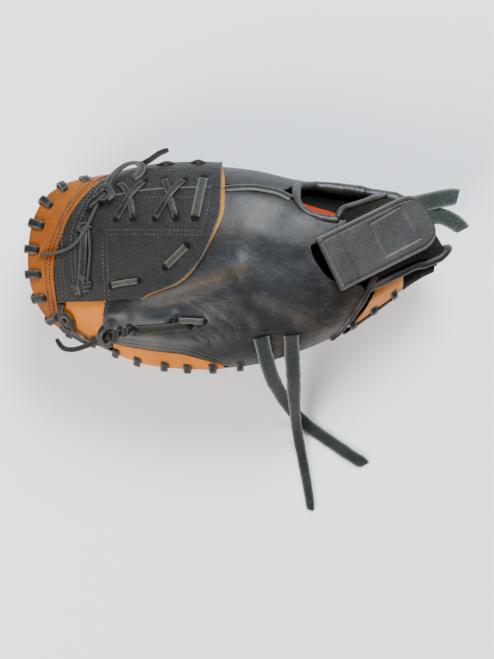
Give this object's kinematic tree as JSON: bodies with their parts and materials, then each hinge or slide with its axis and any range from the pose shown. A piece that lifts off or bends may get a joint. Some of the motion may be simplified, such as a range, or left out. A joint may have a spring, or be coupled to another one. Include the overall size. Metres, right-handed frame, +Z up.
{
  "type": "catcher's mitt",
  "caption": "Padded leather catcher's mitt, folded shut and lying on its thumb side, with laced web, laced rim, wrist strap and loose lace ends.",
  "frame": {"origin": "middle of the mitt's outline on the surface that it lies on", "axes": "+X from the fingertips to the wrist, +Y towards the fold, +Z up, from the thumb half to the finger half"},
  "size_m": [0.3514, 0.3026, 0.1285],
  "materials": {
    "black_leather": "worn, half gloss",
    "web_leather": "pebbled, matte",
    "tan_leather": "worn, half gloss",
    "lace": "smooth",
    "suede_lace": "suede",
    "strap_leather": "matte",
    "orange_lining": "matte",
    "hook_tape": "fuzzy"
  },
  "bodies": {
    "root": {"palm": "tan_leather", "hand_lining": "orange_lining", "finger_back": "black_leather", "thumb_back": "black_leather", "finger_edge_panel": "tan_leather", "thumb_edge_panel": "tan_leather", "finger_tip_cap": "tan_leather", "thumb_tip_cap": "tan_leather", "tip_band": "tan_leather", "web_finger_panel": "web_leather", "web_centre_panel": "web_leather", "web_thumb_panel": "web_leather", "web_inner_panel": "tan_leather", "rim_lace": "lace", "web_cross_lace_1": "lace", "web_cross_lace_2": "lace", "web_cross_lace_3": "lace", "web_cross_lace_4": "lace", "web_wide_lace": "suede_lace", "web_short_lace_1": "suede_lace", "web_short_lace_2": "suede_lace", "web_thin_lace": "lace", "web_tie_lace": "lace", "hinge_lace": "suede_lace", "hinge_lace_end": "suede_lace", "hinge_lace_knot": "lace", "hinge_lace_tail": "lace", "web_knot": "lace", "web_knot_loop": "lace", "web_knot_tail": "lace", "web_fold_lace_1": "lace", "web_fold_lace_2": "lace", "seam_welt": "suede_lace", "wrist_band": "web_leather", "hand_hole_roll": "black_leather", "wrist_band_upper_roll": "black_leather", "wrist_band_lower_roll": "black_leather", "back_piping": "black_leather", "finger_heel_facing": "tan_leather", "finger_heel_lining": "black_leather", "thumb_heel_facing": "tan_leather", "thumb_heel_lining": "black_leather", "wrist_strap": "strap_leather", "hook_tape": "hook_tape", "side_tail_1": "suede_lace", "side_tail_2": "suede_lace", "heel_tail_1": "suede_lace", "heel_tail_2": "suede_lace"}
  },
  "joints": []
}
